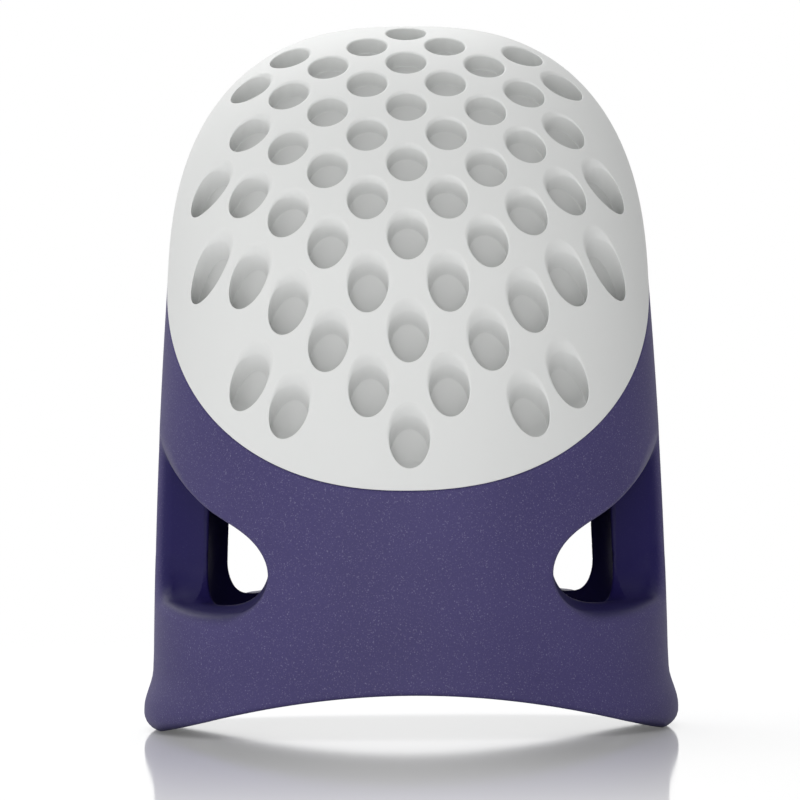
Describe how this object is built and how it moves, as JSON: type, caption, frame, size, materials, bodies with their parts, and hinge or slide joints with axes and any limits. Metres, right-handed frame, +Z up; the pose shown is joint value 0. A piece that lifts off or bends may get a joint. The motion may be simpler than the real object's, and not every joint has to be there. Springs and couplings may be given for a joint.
{
  "type": "thimble",
  "caption": "Soft finger sleeve with side vents and a rolled arched rim, and a hard dimpled cap set into it over the front and the tip, for pushing a needle.",
  "frame": {"origin": "on the floor, midway between the two feet and midway between the front and the back of the rim", "axes": "+Z up along the finger to the closed tip, +X across the finger, the dimpled front faces -Y"},
  "size_m": [0.0204, 0.018, 0.0269],
  "materials": {
    "cap_plastic": "fine matte, moulded",
    "sleeve_rubber": "satin with a fine moulded grain"
  },
  "bodies": {
    "root": {"hard_cap": "cap_plastic", "soft_sleeve": "sleeve_rubber"}
  },
  "joints": []
}
